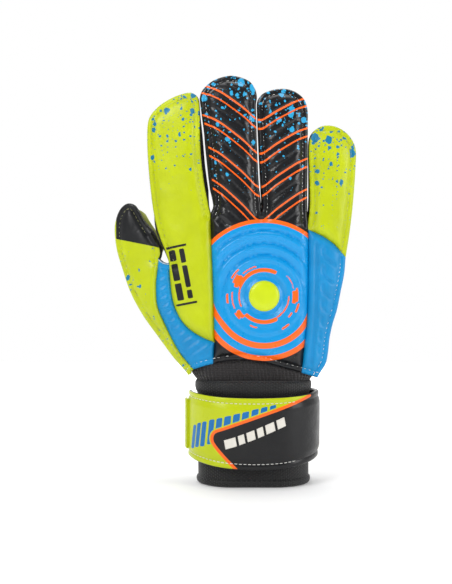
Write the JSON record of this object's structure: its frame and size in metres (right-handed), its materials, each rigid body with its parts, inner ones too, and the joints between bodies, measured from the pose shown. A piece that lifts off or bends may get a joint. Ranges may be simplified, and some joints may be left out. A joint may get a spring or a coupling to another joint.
{
  "type": "goalkeeper glove",
  "caption": "Right-hand goalkeeper glove with padded backhand panels, foam latex palm, bending finger stalls on spines, elastic wrist and a wrap strap that opens.",
  "frame": {"origin": "centre of the wrist opening, on the plane of the cuff's rim", "axes": "+Z from the wrist to the fingertips, +X from the thumb to the little finger, +Y from the back of the hand to the palm"},
  "size_m": [0.1641, 0.0614, 0.267],
  "materials": {
    "padding_lime": "printed matt coating over foam",
    "padding_blue": "glossy printed coating over foam",
    "padding_black": "glossy printed coating over foam",
    "latex_foam": "open-pored latex foam",
    "mesh_black": "spacer mesh",
    "spine_plastic": "satin",
    "elastic_knit": "ribbed elastic knit",
    "strap_laminate": "glossy coated laminate",
    "hook_loop": "hook and loop tape",
    "dome_lime": "gloss",
    "tab_lime": "printed coating",
    "badge_pale": "satin"
  },
  "bodies": {
    "hand": {"backhand_dome": "dome_lime", "backhand_panel": "padding_black", "cuff_hem": "mesh_black", "cuff_sleeve": "mesh_black", "index_side_panel": "padding_lime", "inner_hand_gusset": "mesh_black", "little_side_panel": "padding_lime", "loop_patch": "hook_loop", "outer_hand_gusset": "mesh_black", "outer_side_panel": "padding_blue", "palm_latex": "latex_foam", "spine_roots": "spine_plastic", "strap_anchor": "strap_laminate", "thumb_base_back": "padding_lime", "thumb_base_gusset": "mesh_black", "thumb_base_latex": "latex_foam", "thumb_heel_back": "padding_lime", "thumb_heel_latex": "latex_foam", "thumb_web_panel": "padding_blue", "wrist_gaiter": "elastic_knit"},
    "index_base": {"index_base_back": "padding_lime", "index_base_gusset": "mesh_black", "index_base_latex": "latex_foam", "index_base_spine": "spine_plastic"},
    "index_tip": {"index_tip_back": "padding_lime", "index_tip_gusset": "mesh_black", "index_tip_latex": "latex_foam", "index_tip_spine": "spine_plastic"},
    "middle_base": {"middle_base_back": "padding_black", "middle_base_gusset": "mesh_black", "middle_base_latex": "latex_foam", "middle_base_spine": "spine_plastic"},
    "middle_tip": {"middle_tip_back": "padding_black", "middle_tip_gusset": "mesh_black", "middle_tip_latex": "latex_foam", "middle_tip_spine": "spine_plastic"},
    "ring_base": {"ring_base_back": "padding_black", "ring_base_gusset": "mesh_black", "ring_base_latex": "latex_foam", "ring_base_spine": "spine_plastic"},
    "ring_tip": {"ring_tip_back": "padding_black", "ring_tip_gusset": "mesh_black", "ring_tip_latex": "latex_foam", "ring_tip_spine": "spine_plastic"},
    "little_base": {"little_base_back": "padding_lime", "little_base_gusset": "mesh_black", "little_base_latex": "latex_foam", "little_base_spine": "spine_plastic"},
    "little_tip": {"little_tip_back": "padding_lime", "little_tip_gusset": "mesh_black", "little_tip_latex": "latex_foam", "little_tip_spine": "spine_plastic"},
    "thumb_tip": {"thumb_tip_back": "padding_lime", "thumb_tip_gusset": "mesh_black", "thumb_tip_latex": "latex_foam"},
    "strap": {"strap_flap": "strap_laminate", "hook_patch": "hook_loop", "pull_tab": "tab_lime", "strap_badge": "badge_pale"}
  },
  "joints": [
    {"name": "index_knuckle", "type": "hinge", "parent": "hand", "child": "index_base", "pos_m": [-0.0474, -0.002, 0.189], "axis": [-1, 0, 0], "range_deg": [0, 75], "stiffness_Nm_per_rad": 0.06},
    {"name": "index_middle", "type": "hinge", "parent": "index_base", "child": "index_tip", "pos_m": [-0.04995, -0.002, 0.219], "axis": [-1, 0, 0], "range_deg": [0, 75], "stiffness_Nm_per_rad": 0.06},
    {"name": "middle_knuckle", "type": "hinge", "parent": "hand", "child": "middle_base", "pos_m": [-0.012, -0.002, 0.189], "axis": [-1, 0, 0], "range_deg": [0, 75], "stiffness_Nm_per_rad": 0.06},
    {"name": "middle_middle", "type": "hinge", "parent": "middle_base", "child": "middle_tip", "pos_m": [-0.01377, -0.002, 0.222], "axis": [-1, 0, 0], "range_deg": [0, 75], "stiffness_Nm_per_rad": 0.06},
    {"name": "ring_knuckle", "type": "hinge", "parent": "hand", "child": "ring_base", "pos_m": [0.0201, -0.002, 0.189], "axis": [-1, 0, 0], "range_deg": [0, 75], "stiffness_Nm_per_rad": 0.06},
    {"name": "ring_middle", "type": "hinge", "parent": "ring_base", "child": "ring_tip", "pos_m": [0.01946, -0.002, 0.22], "axis": [-1, 0, 0], "range_deg": [0, 75], "stiffness_Nm_per_rad": 0.06},
    {"name": "little_knuckle", "type": "hinge", "parent": "hand", "child": "little_base", "pos_m": [0.0498, -0.002, 0.182], "axis": [-1, 0, 0], "range_deg": [0, 75], "stiffness_Nm_per_rad": 0.06},
    {"name": "little_middle", "type": "hinge", "parent": "little_base", "child": "little_tip", "pos_m": [0.05079, -0.002, 0.208], "axis": [-1, 0, 0], "range_deg": [0, 75], "stiffness_Nm_per_rad": 0.06},
    {"name": "thumb_bend", "type": "hinge", "parent": "hand", "child": "thumb_tip", "pos_m": [-0.07771, 0.00212, 0.15817], "axis": [-0.9118, 0.342, -0.2273], "range_deg": [0, 60], "stiffness_Nm_per_rad": 0.06},
    {"name": "strap_open", "type": "hinge", "parent": "hand", "child": "strap", "pos_m": [0.0432, 0, 0.03925], "axis": [0, 0, 1], "range_deg": [0, 110]}
  ]
}
